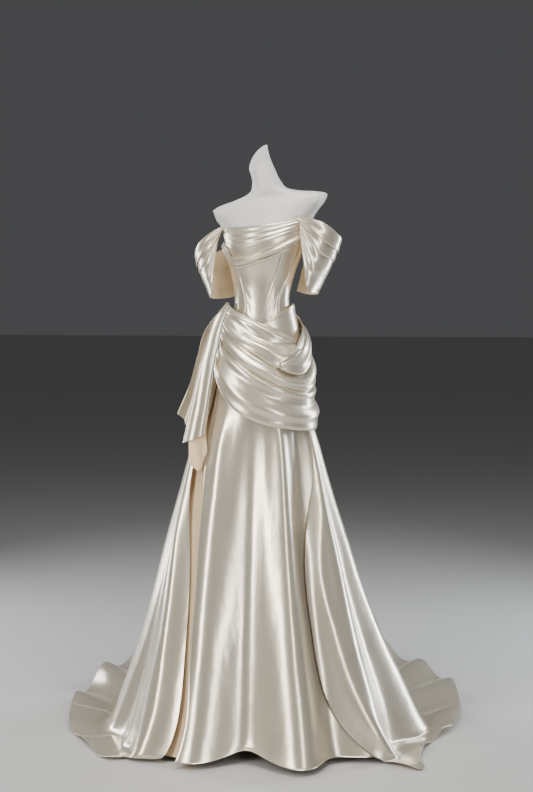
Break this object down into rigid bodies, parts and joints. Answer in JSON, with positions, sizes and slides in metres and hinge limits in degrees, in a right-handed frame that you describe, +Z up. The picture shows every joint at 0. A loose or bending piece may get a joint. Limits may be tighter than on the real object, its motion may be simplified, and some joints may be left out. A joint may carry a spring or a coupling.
{
  "type": "evening gown on a dress form",
  "caption": "Off-shoulder satin evening gown with a draped neckline and hip, side slit and sweep train, on a limbless dress form with a round base",
  "frame": {"origin": "centre of the base plate's underside, on the pole's axis", "axes": "+Z up, -Y the way the form's chest faces, +X the wearer's left"},
  "size_m": [1.2492, 1.5878, 1.7931],
  "materials": {
    "satin": "heavy ivory satin, soft sheen on its right side",
    "lining": "matt tan lining and wrong side of the satin",
    "form": "matt white painted shell",
    "steel": "brushed pole and base plate"
  },
  "bodies": {
    "root": {"form_torso": "form", "form_pole": "steel", "form_base": "steel", "bodice_front": "satin", "bodice_side_front_left": "satin", "bodice_side_left": "satin", "bodice_back_left": "satin", "bodice_side_front_right": "satin", "bodice_side_right": "satin", "bodice_back_right": "satin", "neckline_swag_upper": "satin", "neckline_swag_middle": "satin", "neckline_swag_lower": "satin", "sleeve_left_band": "satin", "sleeve_left_pleat_upper": "satin", "sleeve_left_pleat_lower": "satin", "sleeve_right_band": "satin", "sleeve_right_pleat_upper": "satin", "sleeve_right_pleat_lower": "satin", "skirt_front": "satin", "skirt_side_left": "satin", "skirt_back_left": "satin", "skirt_back_right": "satin", "skirt_side_right": "satin", "skirt_lining": "lining", "hip_drape_lower": "satin", "hip_drape_middle": "satin", "hip_drape_upper": "satin", "hip_drape_cross": "satin", "hip_yoke": "satin", "cascade_back": "satin", "cascade_front": "satin", "cascade_tongue": "lining"}
  },
  "joints": []
}
